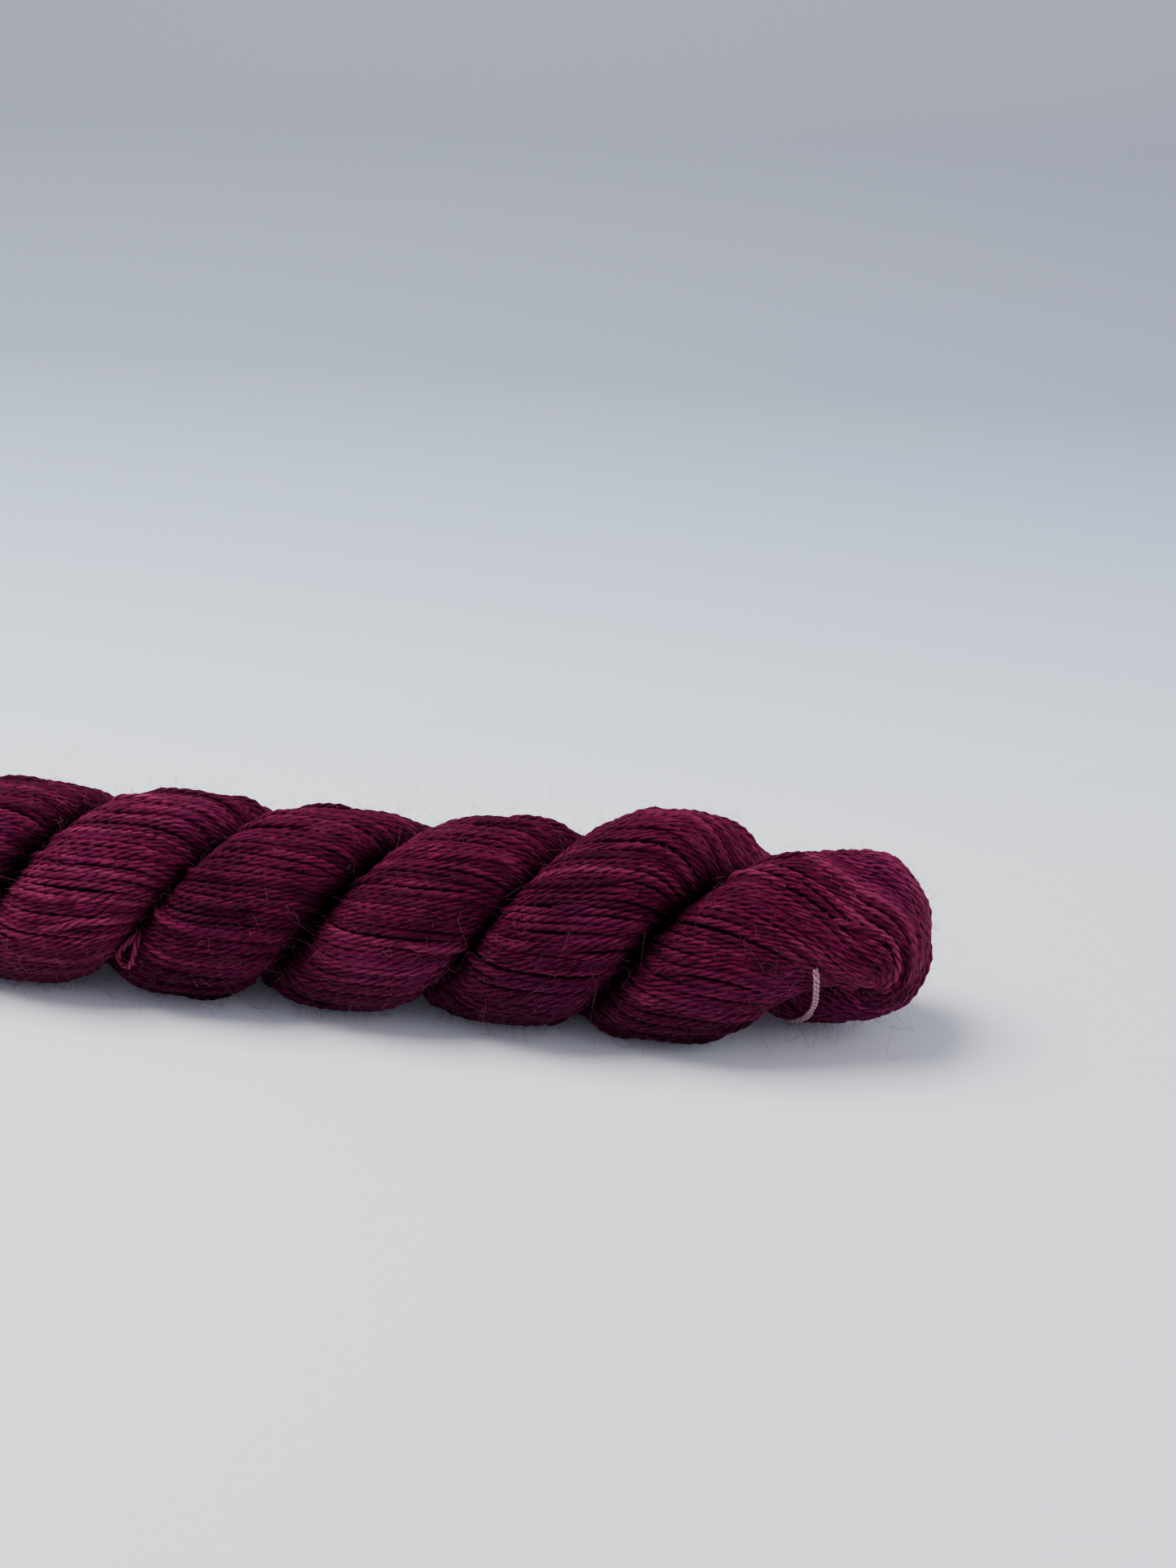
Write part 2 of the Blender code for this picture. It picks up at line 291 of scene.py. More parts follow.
# The halo: short fibres that cling to the yarn, and long ones that stand off it
Halo = namedtuple("Halo", "name fibres shortest longest radius points lean bend waves seed")
CLINGING = Halo(name="clinging_fibres", fibres=8200, shortest=1.2 * MM, longest=4.8 * MM,
                radius=0.028 * MM, points=5, lean=2.4, bend=0.75, waves=0.7, seed=5)
STANDING = Halo(name="standing_fibres", fibres=1750, shortest=2.0 * MM, longest=7.5 * MM,
                radius=0.028 * MM, points=14, lean=2.2, bend=1.35, waves=1.5, seed=8)

# Most fibres are short. They root a little under the strands' outer side, on every fifth section
# and point of the form, and wave by a share of their bend.
FIBRE_SKEW = 2.2
FIBRE_SWAY = 0.45
ROOT_DEPTH = 0.4 * MM
ROOT_STEP = 5

# How thickly they stand: everywhere, more low down, and more again low at the right-hand end, with
# the places where each of these starts and is full
FLUFF = 0.7
LOW_FLUFF = 0.5
LOW_FLUFF_START = 26.0 * MM
LOW_FLUFF_FULL = 6.0 * MM
END_FLUFF = 1.6
END_FLUFF_START = 85.0 * MM
END_FLUFF_FULL = 140.0 * MM

# A fibre that meets the table turns along it and back to the hank: the depth over which it starts
# to turn, and how far it goes for each metre that it would have sunk
FLOOR_TURN = 1.0 * MM
FLOOR_SLANT = 2.6
FLOOR_RETURN = 0.8

# Stretches of colour in the hand-dyed yarn, and two of painted light that lighten its right-hand
# end: where they lie, how wide they are, how much lighter or darker the yarn is there and how much
# it leans to magenta
DyeAndLightPatch = namedtuple("DyeAndLightPatch", "ply centre half_width lift magenta")
DYE_AND_LIGHT_PATCHES = (
    DyeAndLightPatch(ply=1, centre=-195.0 * MM, half_width=26.0 * MM, lift=0.6, magenta=0.0),
    DyeAndLightPatch(ply=2, centre=-150.0 * MM, half_width=20.0 * MM, lift=-0.25, magenta=0.1),
    DyeAndLightPatch(ply=1, centre=-115.0 * MM, half_width=18.0 * MM, lift=0.1, magenta=0.1),
    DyeAndLightPatch(ply=2, centre=-75.0 * MM, half_width=22.0 * MM, lift=-0.3, magenta=0.0),
    DyeAndLightPatch(ply=2, centre=-38.0 * MM, half_width=17.0 * MM, lift=0.45, magenta=0.0),
    DyeAndLightPatch(ply=1, centre=-26.0 * MM, half_width=15.0 * MM, lift=0.05, magenta=0.0),
    # Painted light: the last two lighten the right-hand end
    DyeAndLightPatch(ply=2, centre=6.0 * MM, half_width=9.0 * MM, lift=0.5, magenta=0.2),
    DyeAndLightPatch(ply=1, centre=15.0 * MM, half_width=14.0 * MM, lift=1.0, magenta=0.2),
)

# How far the stretches slip along from strand to strand
PATCH_SLIP = 7.0 * MM

# Colours of the finishes, in linear light
DYE_DARK = (0.026, 0.0002, 0.0085)
DYE_MIDDLE = (0.067, 0.0022, 0.0207)
DYE_LIGHT = (0.147, 0.0140, 0.047)
DYE_MAGENTA = (0.085, 0.0060, 0.046)
YARN_SHEEN = (0.95, 0.30, 0.52)
# Painted shade: the core is darker than the yarn
CORE_DARK = (0.016, 0.0004, 0.006)
CORE_LIGHT = (0.045, 0.001, 0.015)
FIBRE_DARK = (0.045, 0.005, 0.018)
FIBRE_LIGHT = (0.17, 0.035, 0.075)
THREAD_DARK = (0.040, 0.009, 0.015)
THREAD_LIGHT = (0.56, 0.285, 0.345)
PAPER_NEAR = (0.715, 0.745, 0.785)
PAPER_FAR = (0.37, 0.40, 0.455)

# Painted shade: the paper's colour deepens from near to far over this stretch, with more shades
# between: share of the way, and colour
PAPER_STRETCH = (0.1, 1.4)
PAPER_SHADES = (
    (0.07, (0.62, 0.69, 0.79)),
    (0.19, (0.45, 0.53, 0.69)),
    (0.33, (0.32, 0.365, 0.455)),
)

# The paper sweep: where it starts and where it curves up, the curve, its top and its half width
SWEEP_START = -1.5
SWEEP_BACK = 1.0
SWEEP_RADIUS = 0.45
SWEEP_STEPS = 16
SWEEP_TOP = 2.2
SWEEP_HALF_WIDTH = 2.4

# Soft light: a large square softbox above on the left, a weak one on the right, and a pale room
Softbox = namedtuple("Softbox", "name place at size power tint")
SOFTBOXES = (
    Softbox(name="top_softbox", place=(-0.52, -0.04, 1.15), at=(0.0, 0.0, 0.0), size=0.8,
            power=30.5, tint=(0.985, 1.0, 0.915)),
    Softbox(name="right_window", place=(1.0, -0.3, 0.6), at=(0.05, 0.0, 0.02), size=0.7,
            power=4.5, tint=(0.97, 0.98, 1.0)),
)
ROOM_COLOUR = (0.82, 0.78, 1.0)
ROOM_STRENGTH = 0.82


def ease(start, end, at):
    """0 before start, 1 past end, with a smooth step between them."""
    share = np.clip((at - start) / (end - start), 0.0, 1.0)
    return share ** 2 * (3.0 - 2.0 * share)


def eased_run(start, end, at):
    """The area under ease, from start to each place."""
    span = end - start
    share = np.clip((at - start) / span, 0.0, 1.0)
    beyond = np.where((at - end) * span > 0.0, at - end, 0.0)
    return span * (share ** 3 - share ** 4 / 2.0) + beyond


def hump(centre, half_width, at):
    """A soft bump of height 1 at centre."""
    return np.exp(-((at - centre) / half_width) ** 2)


def unit(vectors):
    return vectors / np.maximum(np.linalg.norm(vectors, axis=-1, keepdims=True), 1e-12)


# The hank's form

def raw_twist(x):
    """The plies' turn about the hank's axis, before its place is set."""
    rate = math.pi / LOBE_SPACING
    turn = rate * x
    turn = turn + (FOLD_TWIST - rate) * eased_run(RIGHT_EASE_START, RIGHT_EASE_END, x)
    turn = turn + (FOLD_TWIST - rate) * eased_run(LEFT_EASE_START, LEFT_EASE_END, x)
    return turn - TWIST_LAG * hump(TWIST_LAG_CENTRE, TWIST_LAG_HALF_WIDTH, x)


def twist(x):
    """The first ply's angle about the hank's axis: 0 to the front, 90 degrees straight up."""
    return raw_twist(x) - raw_twist(LOW_POINT) - math.pi / 2.0


def axis_y(x):
    return RIGHT_FOLD_SHIFT * ease(BEND_START, BEND_END, x)


def axis_z(x):
    return AXIS_HEIGHT + RIGHT_FOLD_LIFT * ease(BEND_START, BEND_END, x)


def near_right_fold(x):
    return ease(-FOLD_STRETCH, 0.0, x)


def near_left_fold(x):
    return ease(LEFT_FOLD_X + FOLD_STRETCH, LEFT_FOLD_X, x)


def ply_offset(x):
    """How far a ply's middle lies from the hank's axis."""
    offset = PLY_OFFSET - RIGHT_OFFSET_LOSS * near_right_fold(x)
    return offset - LEFT_OFFSET_LOSS * near_left_fold(x)


def ply_reach(x, ply):
    """How far a ply's outer side lies from its own middle."""
    reach = PLY_REACH - RIGHT_REACH_LOSS * near_right_fold(x) - LEFT_REACH_LOSS * near_left_fold(x)
    reach = reach - RIGHT_ROUNDING * ease(ROUNDING_START, ROUNDING_END, x)
    for swell in SWELLS:
        if swell.ply == ply:
            reach = reach + swell.rise * hump(swell.centre, swell.half_width, x)
    return reach


def loop_stations(ply_sections, fold_sections):
    """Each section's place along the hank, and its turn round the loop: 0 on the first ply, pi on
    the second, and between them in the folds."""
    out = np.linspace(LEFT_FOLD_X, RIGHT_FOLD_X, ply_sections, endpoint=False)
    back = np.linspace(RIGHT_FOLD_X, LEFT_FOLD_X, ply_sections, endpoint=False)
    right = np.linspace(0.0, math.pi, fold_sections, endpoint=False)
    left = np.linspace(math.pi, 2.0 * math.pi, fold_sections, endpoint=False)
    x = np.concatenate([
        out,
        RIGHT_FOLD_X + RIGHT_FOLD_RADIUS * np.sin(right),
        back,
        LEFT_FOLD_X + LEFT_FOLD_RADIUS * np.sin(left),
    ])
    turn = np.concatenate([np.zeros_like(out), right, np.full_like(back, math.pi), left])
    return x, turn


def ply_direction(x):
    """From the hank's axis towards the first ply."""
    angle = twist(x)
    return np.stack([np.zeros_like(x), -np.cos(angle), np.sin(angle)], axis=-1)


def loop_middle(x, turn):
    inside = np.clip(x, LEFT_FOLD_X, RIGHT_FOLD_X)
    middle = np.stack([x, axis_y(x), axis_z(x)], axis=1)
    return middle + (ply_offset(inside) * np.cos(turn))[:, None] * ply_direction(x)


def loop_frames(x, turn):
    """Each section's middle, its outward direction and the direction across it."""
    middle = loop_middle(x, turn)
    step = np.linalg.norm(np.roll(middle, -1, axis=0) - middle, axis=1).mean()
    reach = max(1, round(TANGENT_REACH / step))
    along = unit(np.roll(middle, -reach, axis=0) - np.roll(middle, reach, axis=0))
    outward = np.cos(turn)[:, None] * ply_direction(x)
    outward[:, 0] += np.sin(turn)
    outward = unit(outward - np.sum(outward * along, axis=1)[:, None] * along)
    return middle, outward, np.cross(along, outward)


def part_plies(points, turn):
    """Each ply kept on its own side of the twisting plane where the two press together, and how far
    each point had to move for that."""
    x = points[..., 0]
    towards = ply_direction(x)
    side = np.where(np.cos(turn) >= 0.0, 1.0, -1.0)[:, None]
    across = (points[..., 1] - axis_y(x)) * towards[..., 1]
    across += (points[..., 2] - axis_z(x)) * towards[..., 2]
    slack = FOLD_SLACK * np.sin(turn)[:, None] ** 2
    press = np.maximum(HALF_GAP - slack - across * side, 0.0)
    return points + (press * side)[..., None] * towards, press


def hank_sections(x, turn, points_round, inset):
    """The hank's surface, inset by a depth, as sections of points, and how hard each is pressed."""
    middle, outward, across = loop_frames(x, turn)
    inside = np.clip(x, LEFT_FOLD_X, RIGHT_FOLD_X)
    first_share = (1.0 + np.cos(turn)) / 2.0
    reach = first_share * ply_reach(inside, 1) + (1.0 - first_share) * ply_reach(inside, 2)
    bend = np.abs(np.sin(turn))
    at_right = x > 0.0
    reach = reach - RIGHT_TURN_THINNING * at_right * bend ** 2
    fold_radius = np.where(at_right, RIGHT_FOLD_RADIUS, LEFT_FOLD_RADIUS)
    inner = (1.0 - bend) * (ply_offset(inside) - HALF_GAP) + bend * (fold_radius - FOLD_EYE)
    half_width = PLY_HALF_WIDTH + RIGHT_WIDTH_GAIN * near_right_fold(inside)
    half_width = half_width - RIGHT_TURN_NARROWING * at_right * bend ** 2
    angle = np.linspace(0.0, 2.0 * math.pi, points_round, endpoint=False)
    power = (PLY_POWER + (FOLD_POWER - PLY_POWER) * bend)[:, None]
    c, s = np.cos(angle), np.sin(angle)
    depth = np.where(c > 0.0, reach[:, None], inner[:, None]) - inset
    depth = depth * np.sign(c) * np.abs(c) ** power
    width = (half_width[:, None] - inset) * np.sign(s) * np.abs(s) ** power
    points = middle[:, None] + depth[..., None] * outward[:, None]
    points = points + width[..., None] * across[:, None]
    points, press = part_plies(points, turn)
    points[..., 2] = np.maximum(points[..., 2], inset)
    return points, press


def even_sections(points, press):
    """The same sections with their points evenly spaced round each outline."""
    steps = np.linalg.norm(np.roll(points, -1, axis=1) - points, axis=2)
    places = np.concatenate([np.zeros((len(points), 1)), np.cumsum(steps, axis=1)], axis=1)
    values = np.concatenate([points, press[..., None]], axis=2)
    values = np.concatenate([values, values[:, :1]], axis=1)
    count = points.shape[1]
    even = np.empty(values[:, :-1].shape)
    for row in range(len(points)):
        wanted = np.arange(count) / count * places[row, -1]
        for part in range(values.shape[2]):
            even[row, :, part] = np.interp(wanted, places[row], values[row, :, part])
    return even[..., :3], even[..., 3]


def outward_normals(points):
    """Each point's direction off the surface, evened out a little."""
    round_it = np.roll(points, -1, axis=1) - np.roll(points, 1, axis=1)
    along_it = np.roll(points, -2, axis=0) - np.roll(points, 2, axis=0)
    normals = unit(np.cross(round_it, along_it))
    for axis in (0, 1, 0, 1):
        normals = normals + np.roll(normals, 2, axis=axis) + np.roll(normals, -2, axis=axis)
    return unit(normals)


def distance_between_plies(points, length):
    """How far each point is from the nearest part of the loop that isn't its own stretch of ply."""
    rows, columns = 6, 8
    coarse, at = points[::rows, ::columns], length[:-1:rows]
    near = np.empty(coarse.shape[:2])
    for i, section in enumerate(coarse):
        apart = np.abs(at - at[i])
        others = coarse[np.minimum(apart, length[-1] - apart) > SAME_PLY_RUN].reshape(-1, 3)
        near[i] = np.sqrt(((section[:, None] - others[None]) ** 2).sum(axis=2).min(axis=1))
    full = np.repeat(np.repeat(near, rows, axis=0)[:len(points)], columns, axis=1)
    for axis, reach in ((0, rows // 2), (1, columns // 2)):
        shifted = [np.roll(full, step, axis=axis) for step in range(-reach, reach + 1)]
        full = sum(shifted) / len(shifted)
    return full


Form = namedtuple("Form", "x turn length points normals press shade")


def lay_out_form(shift):
    """The hank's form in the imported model's place, with the running length of the loop."""
    x, turn = loop_stations(PLY_SECTIONS, FOLD_SECTIONS)
    middle = loop_middle(x, turn)
    steps = np.linalg.norm(np.roll(middle, -1, axis=0) - middle, axis=1)
    length = np.concatenate([[0.0], np.cumsum(steps)])
    points, press = hank_sections(x, turn, SECTION_POINTS, inset=0.0)
    points, press = even_sections(points, press)

    # Painted shade in the grooves between the plies and low down
    at_end = ease(END_SHADE_START, END_SHADE_FULL, points[..., 0])
    in_end_groove = ease(END_GROOVE_START, END_GROOVE_FULL, points[..., 0])
    far = GROOVE_FAR + (END_GROOVE_FAR - GROOVE_FAR) * at_end
    least = GROOVE_SHADE + (END_GROOVE_SHADE - GROOVE_SHADE) * in_end_groove
    shade = least + (1.0 - least) * ease(GROOVE_NEAR, far, distance_between_plies(points, length))
    low = LOW_SHADE + (END_LOW_SHADE - LOW_SHADE) * at_end
    shade = shade * (low + (1.0 - low) * ease(0.0, LOW_HEIGHT, points[..., 2]))

    normals = outward_normals(points)
    for puff in PUFFS:
        near = np.exp(-np.sum((points - np.array(puff.place)) ** 2, axis=2) / puff.size ** 2)
        points = points + normals * (puff.amount * near)[..., None]
    points[..., 2] = np.maximum(points[..., 2], 0.0)
    return Form(x, turn, length, points + shift, normals, press, shade)


# The wound strands

def strand_turns(form, share):
    """How many times a strand has gone round its ply at each station."""
    x = form.x
    rate = LOBE_TURN + (END_TURN - LOBE_TURN) * ease(-END_TURN_STRETCH, 0.0, x)
    rate = rate + (END_TURN - LOBE_TURN) * near_left_fold(x)
    bend = np.sin(form.turn) ** 2
    rate = (rate * (1.0 - bend) + FOLD_TURN * bend) * share
    return np.concatenate([[0.0], np.cumsum(rate * np.diff(form.length))]) / (2.0 * math.pi)


def waves(random, rows, at, longest, shortest, steep=1.0):
    """A slow random wave for each row, within -1 and 1."""
    made = np.zeros((rows, len(at)))
    for _ in range(4):
        length = random.uniform(shortest, longest, (rows, 1))
        start = random.uniform(0.0, 2.0 * math.pi, (rows, 1))
        made += 0.5 * np.sin(2.0 * math.pi * at / length + start)
    return np.tanh(steep * made)


def crowding_of(random, count, at, total):
    """Slow bunching that neighbouring strands share, in strand spacings."""
    lane = np.arange(count)[:, None] / count
    made = np.zeros((count, len(at)))
    for bunches in BUNCHES:
        rounds = random.integers(3, 9) * random.choice([-1, 1])
        start = random.uniform(0.0, 2.0 * math.pi)
        angle = 2.0 * math.pi * (bunches * lane + rounds * at / total) + start
        made += np.sin(angle) * count / (2.0 * math.pi * bunches)
    return made


def dye_and_light_along(form, stations, random, count):
    """Each strand's lift of colour and lean to magenta at each station of the loop, from the dyed
    stretches and the painted light at the right-hand end.
    """
    lift = np.zeros((count, len(stations)))
    magenta = np.zeros((count, len(stations)))
    x = form.x[stations]
    ply = np.where(np.cos(form.turn[stations]) >= 0.0, 1, 2)
    slip = random.normal(0.0, PATCH_SLIP, (count, 1))
    for patch in DYE_AND_LIGHT_PATCHES:
        here = hump(patch.centre, patch.half_width, x[None] + slip) * (ply == patch.ply)
        lift += patch.lift * here
        magenta += patch.magenta * here
    return lift, magenta


Strand = namedtuple("Strand", "points values")


def between_columns(grid, stations, place):
    """A grid's values at stations round the loop and places between the points of a section."""
    low = np.floor(place).astype(int)
    share = place - low
    if grid.ndim == 3:
        share = share[..., None]
    before = grid[stations, low % SECTION_POINTS]
    after = grid[stations, (low + 1) % SECTION_POINTS]
    return before * (1.0 - share) + after * share


def wind(form, layer):
    """The stretches of a layer's strands that show, each as evenly spaced points."""
    random = np.random.default_rng(layer.seed)
    count = layer.count
    total = form.length[-1]
    rounds, stations = np.divmod(np.arange(-LOOP_LAP, len(form.x) + LOOP_LAP), len(form.x))
    at = form.length[stations] + rounds * total

    turns = strand_turns(form, layer.turn_share)
    whole = round(turns[-1] * count) / count
    turns = turns[stations] * whole / turns[-1] + rounds * whole
    joined = ease(0.0, JOINT, at) * ease(total, total - JOINT, at)
    aside = layer.wander * waves(random, count, at, *WANDER_WAVES)
    aside = aside + layer.crowding * crowding_of(random, count, at, total)
    aside = aside + RIPPLE * waves(random, count, at, *RIPPLE_WAVES)
    aside = aside + QUIVER * waves(random, count, at, *QUIVER_WAVES)
    around = np.arange(count)[:, None] / count + turns + aside * joined / OUTER.count
    weave = layer.weave * waves(random, count, at, *WEAVE_WAVES, layer.steep)
    depth = layer.depth + weave * joined + TREMOR * waves(random, count, at, *TREMOR_WAVES)
    lift, magenta = dye_and_light_along(form, stations, random, count)

    place = around * SECTION_POINTS
    points = between_columns(form.points, stations, place)
    normals = unit(between_columns(form.normals, stations, place))
    press = between_columns(form.press, stations, place)
    shade = between_columns(form.shade, stations, place)
    # Painted shade: deeper strands darker, as if shaded by those above them
    shade = shade * ease(DARK_DEPTH, CLEAR_DEPTH, depth) ** 0.5
    # Painted light from the table: more magenta low down
    magenta = magenta + LOW_MAGENTA * ease(LOW_MAGENTA_START, LOW_MAGENTA_FULL, points[..., 2])
    points = points - normals * depth[..., None]
    points[:, 1:-1] = (points[:, :-2] + points[:, 1:-1] + points[:, 2:]) / 3.0
    points[..., 2] = np.maximum(points[..., 2], STRAND_RADIUS)
    shown = (press < MOST_PRESS) & (depth < max(layer.depth + LAYER_ROOM, SHOWN_DEPTH))

    thick = 1.0 + THICKNESS_WAVE * waves(random, count, at, *THICKNESS_WAVES)
    thick = thick + random.normal(0.0, THICKNESS_SPREAD, (count, 1))
    tone = np.repeat(random.uniform(0.0, 1.0, (count, 1)), len(at), axis=1)
    values = {"lift": lift, "magenta": magenta, "shade": shade, "tone": tone, "thick": thick}
    strands = []
    for row in range(count):
        own = {name: numbers[row] for name, numbers in values.items()}
        strands += shown_stretches(points[row], shown[row], own, layer, random)
    return strands


def uneven_twist(random, run):
    """Where each point of a strand stands in its own spin, on top of the even one."""
    start = random.uniform(0.0, 2.0 * math.pi)
    faster = run * random.normal(SPIN_MEAN, SPIN_SPREAD)
    return start + faster + SPIN_WAVE * waves(random, 1, run, *SPIN_WAVES)[0]


def shown_stretches(points, shown, values, layer, random):
    """Cuts one strand where it goes under the other ply, and spaces its points evenly."""
    edges = np.flatnonzero(np.diff(np.concatenate([[0], shown.astype(int), [0]])))
    found = []
    for start, end in zip(edges[::2], edges[1::2]):
        part = slice(start, end)
        steps = np.linalg.norm(np.diff(points[part], axis=0), axis=1)
        places = np.concatenate([[0.0], np.cumsum(steps)])
        if places[-1] < SHORTEST_ARC:
            continue
        wanted = np.linspace(0.0, places[-1], max(4, round(places[-1] / layer.step)))
        even = np.stack([np.interp(wanted, places, points[part, i]) for i in range(3)], axis=1)
        kept = {name: np.interp(wanted, places, numbers[part]) for name, numbers in values.items()}
        found.append(Strand(even, {**kept, "phase": uneven_twist(random, wanted)}))
    return found


def share_out(strands, pieces):
    """The strands in order along the hank, in pieces of about equal length."""
    ordered = sorted(strands, key=lambda strand: strand.points[:, 0].mean())
    lengths = np.cumsum([len(strand.points) for strand in ordered])
    bounds = np.searchsorted(lengths, lengths[-1] * np.arange(1, pieces) / pieces)
    cuts = [0, *bounds, len(ordered)]
    return [ordered[start:end] for start, end in zip(cuts, cuts[1:])]


# Meshes, node trees and modifiers

def new_object(name, data):
    thing = bpy.data.objects.new(name, data)
    bpy.context.scene.collection.objects.link(thing)
    return thing


def line_mesh(name, lines, values):
    """Open lines of points as one mesh of edges, with a number a point for each named value."""
    mesh = bpy.data.meshes.new(name)
    points = np.concatenate(lines)
    edges = []
    first = 0
    for line in lines:
        edges += [(first + i, first + i + 1) for i in range(len(line) - 1)]
        first += len(line)
    mesh.from_pydata(points.tolist(), edges, [])
    for value_name, numbers in values.items():
        attribute = mesh.attributes.new(value_name, "FLOAT", "POINT")
        attribute.data.foreach_set("value", np.concatenate(numbers).astype(np.float32))
    return mesh


def ring_mesh(name, points):
    """A closed loop of closed sections as a mesh of quads."""
    rows, columns = points.shape[:2]
    row, column = np.meshgrid(np.arange(rows), np.arange(columns), indexing="ij")
    next_row, next_column = (row + 1) % rows, (column + 1) % columns
    corners = [(row, column), (row, next_column), (next_row, next_column), (next_row, column)]
    faces = np.stack([r * columns + c for r, c in corners], axis=2).reshape(-1, 4)
    mesh = bpy.data.meshes.new(name)
    mesh.from_pydata(points.reshape(-1, 3).tolist(), [], faces.tolist())
    mesh.shade_smooth()
    return mesh


class Nodes:
    """Adds nodes to one tree, each with its settings and with its inputs by name or by number."""

    def __init__(self, tree):
        self.tree = tree

    def add(self, kind, inputs=None, **settings):
        node = self.tree.nodes.new(kind)
        for setting, value in settings.items():
            setattr(node, setting, value)
        self.feed_all(node, inputs or {})
        return node

    def feed(self, socket, value):
        if isinstance(value, bpy.types.NodeSocket):
            self.tree.links.new(value, socket)
        else:
            socket.default_value = value

    def feed_all(self, node, inputs):
        for socket, value in inputs.items():
            self.feed(node.inputs[socket], value)

    def maths(self, operation, *values):
        return self.add("ShaderNodeMath", dict(enumerate(values)), operation=operation).outputs[0]

    def vectors(self, operation, *values, **inputs):
        settings = {**dict(enumerate(values)), **inputs}
        return self.add("ShaderNodeVectorMath", settings, operation=operation).outputs[0]

    def parts(self, vector):
        """A vector's x, y and z."""
        return self.add("ShaderNodeSeparateXYZ", {0: vector}).outputs

    def whole(self, x, y, z):
        """A vector of x, y and z."""
        return self.add("ShaderNodeCombineXYZ", {0: x, 1: y, 2: z}).outputs[0]

    def held(self, share):
        """A share kept between 0 and 1."""
        return self.add("ShaderNodeClamp", {0: share}).outputs[0]

    def remap(self, value, low, high, new_low=0.0, new_high=1.0, **settings):
        """A value moved from one range to another."""
        inputs = {0: value, 1: low, 2: high, 3: new_low, 4: new_high}
        return self.add("ShaderNodeMapRange", inputs, **settings).outputs[0]


class GrowingNodes(Nodes):
    """Nodes of a geometry tree."""

    def stored(self, name, data_type="FLOAT"):
        node = self.add("GeometryNodeInputNamedAttribute", {"Name": name}, data_type=data_type)
        return node.outputs["Attribute"]

    def store(self, geometry, name, value, data_type="FLOAT"):
        """The geometry with a value kept at its points under a name."""
        inputs = {"Geometry": geometry, "Name": name, "Value": value}
        settings = {"data_type": data_type, "domain": "POINT"}
        return self.add("GeometryNodeStoreNamedAttribute", inputs, **settings).outputs[0]

    def position(self):
        return self.add("GeometryNodeInputPosition").outputs[0]

    def move(self, geometry, **inputs):
        """The geometry with its points at a Position or moved by an Offset."""
        return self.add("GeometryNodeSetPosition", {"Geometry": geometry, **inputs}).outputs[0]

    def circle(self, corners, radius):
        inputs = {"Resolution": corners, "Radius": radius}
        return self.add("GeometryNodeCurvePrimitiveCircle", inputs, mode="RADIUS").outputs["Curve"]

    def tube(self, curve, section):
        inputs = {"Curve": curve, "Profile Curve": section, "Fill Caps": True}
        return self.add("GeometryNodeCurveToMesh", inputs).outputs[0]

    def any_way(self, seed):
        """A random vector with each part between -1 and 1."""
        inputs = {0: (-1, -1, -1), 1: (1, 1, 1), 8: seed}
        return self.add("FunctionNodeRandomValue", inputs, data_type="FLOAT_VECTOR").outputs[0]

    def end(self, geometry, finish, made):
        """Ends the tree with smooth, real geometry in its finish."""
        for kind, inputs in (
            ("GeometryNodeSetShadeSmooth", {}),
            ("GeometryNodeRealizeInstances", {}),
            ("GeometryNodeSetMaterial", {"Material": finish}),
        ):
            geometry = self.add(kind, {"Geometry": geometry, **inputs}).outputs[0]
        self.feed(made["Geometry"], geometry)
        return self.tree


class FinishNodes(Nodes):
    """Nodes of a material."""

    def attribute(self, name, output="Fac"):
        """A number, or a vector, that the mesh carries under this name."""
        node = self.add("ShaderNodeAttribute", attribute_name=name, attribute_type="GEOMETRY")
        return node.outputs[output]

    def place(self):
        return self.add("ShaderNodeTexCoord").outputs["Object"]

    def noise(self, place, scale, detail, **inputs):
        inputs = {"Vector": place, "Scale": scale, "Detail": detail, **inputs}
        return self.add("ShaderNodeTexNoise", inputs).outputs[0]

    def mix(self, share, low, high):
        """Two colours mixed by a share."""
        return self.add("ShaderNodeMix", {0: share, 6: low, 7: high}, data_type="RGBA").outputs[2]

    def ramp(self, share, low, high, between):
        """A colour between low and high, with more colours between them at their own shares."""
        node = self.add("ShaderNodeValToRGB", {0: share})
        stops = node.color_ramp.elements
        stops[0].position, stops[0].color = 0.0, opaque(low)
        stops[1].position, stops[1].color = 1.0, opaque(high)
        for position, shade in between:
            stops.new(position).color = opaque(shade)
        return node.outputs[0]

    def bump(self, strength, distance, height):
        inputs = {"Strength": strength, "Distance": distance, "Height": height}
        return self.add("ShaderNodeBump", inputs).outputs[0]

    def ply_ridges(self, section, plies):
        """1 along the top of each ply and -1 in the grooves between them."""
        angle = self.maths("ARCTAN2", section[1], section[0])
        return self.maths("COSINE", self.maths("MULTIPLY", angle, float(plies)))

    def spun_fibres(self, section, stretch, scale, detail, **inputs):
        """Fine fibres that run along the yarn and turn with its plies."""
        along = self.maths("MULTIPLY", self.attribute("run"), stretch)
        return self.noise(self.whole(section[0], section[1], along), scale, detail, **inputs)


def node_tree(name, numbers, counts):
    """A geometry tree that takes a geometry, the named numbers and counts and a finish, as its
    nodes and its two ends."""
    tree = bpy.data.node_groups.new(name, "GeometryNodeTree")
    kinds = {"Geometry": "Geometry", **dict.fromkeys(numbers.split(), "Float")}
    kinds = {**kinds, **dict.fromkeys(counts.split(), "Int"), "Finish": "Material"}
    for input_name, kind in kinds.items():
        tree.interface.new_socket(input_name, in_out="INPUT", socket_type=f"NodeSocket{kind}")
    tree.interface.new_socket("Geometry", in_out="OUTPUT", socket_type="NodeSocketGeometry")
    nodes = GrowingNodes(tree)
    given = nodes.add("NodeGroupInput").outputs
    made = nodes.add("NodeGroupOutput").inputs
    return nodes, given, made


